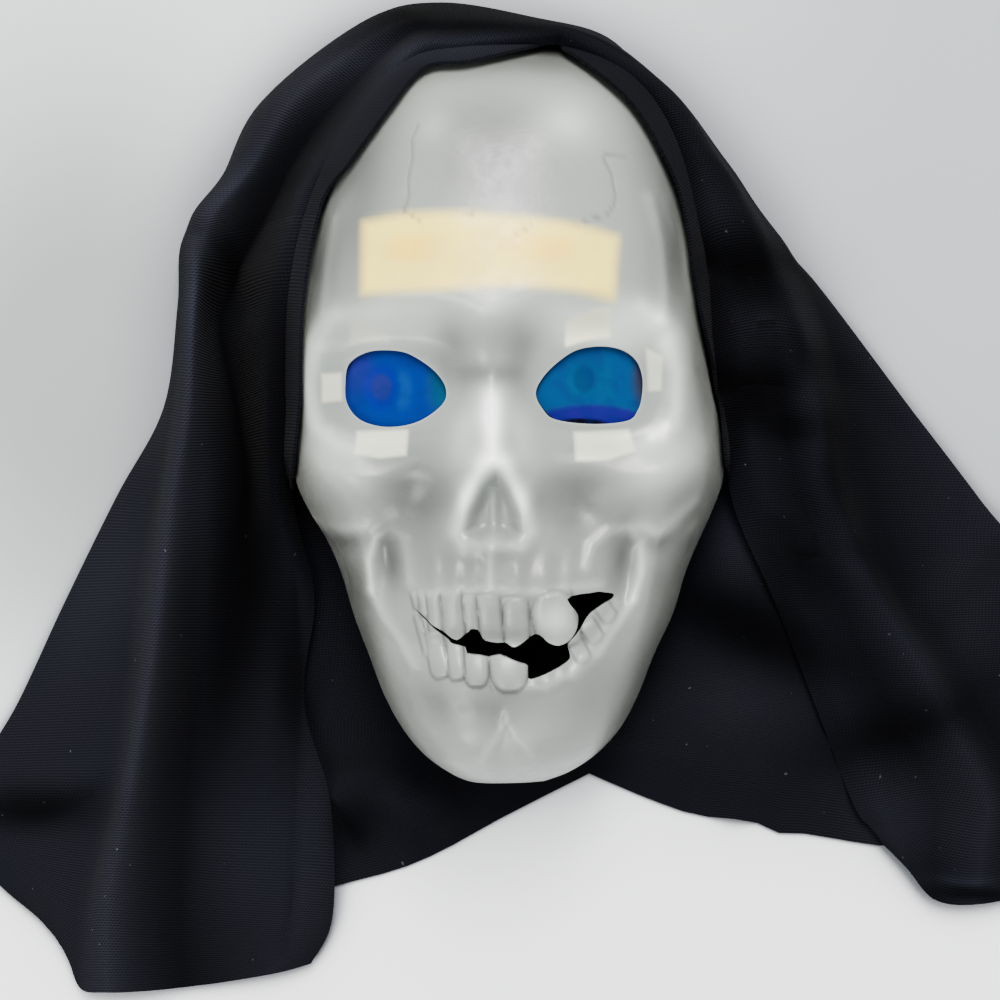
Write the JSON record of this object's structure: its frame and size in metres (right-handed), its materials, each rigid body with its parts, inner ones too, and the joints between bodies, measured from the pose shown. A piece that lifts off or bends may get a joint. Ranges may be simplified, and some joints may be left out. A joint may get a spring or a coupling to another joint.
{
  "type": "hooded skull mask",
  "caption": "Thin plastic skull face mask, open behind, with eye lenses, a forehead pad and a knit hood, lying face up with the hood laid out round it.",
  "frame": {"origin": "middle of the underside of the whole laid-out object", "axes": "+Z out of the face, +Y towards the top of the head, +X to the right seen from in front"},
  "size_m": [0.4258, 0.3544, 0.0894],
  "materials": {
    "mask_plastic": "milky",
    "hood_knit": "fine rib knit",
    "lens": "blue",
    "pad_foam": "soft foam",
    "tape": "paper tape"
  },
  "bodies": {
    "root": {"skull_face": "mask_plastic", "hood": "hood_knit", "eye_lens_left": "lens", "eye_lens_right": "lens", "forehead_pad": "pad_foam", "lens_tape_left_outer": "tape", "lens_tape_left_lower": "tape", "lens_tape_right_upper": "tape", "lens_tape_right_lower": "tape", "lens_tape_right_outer": "tape"}
  },
  "joints": []
}
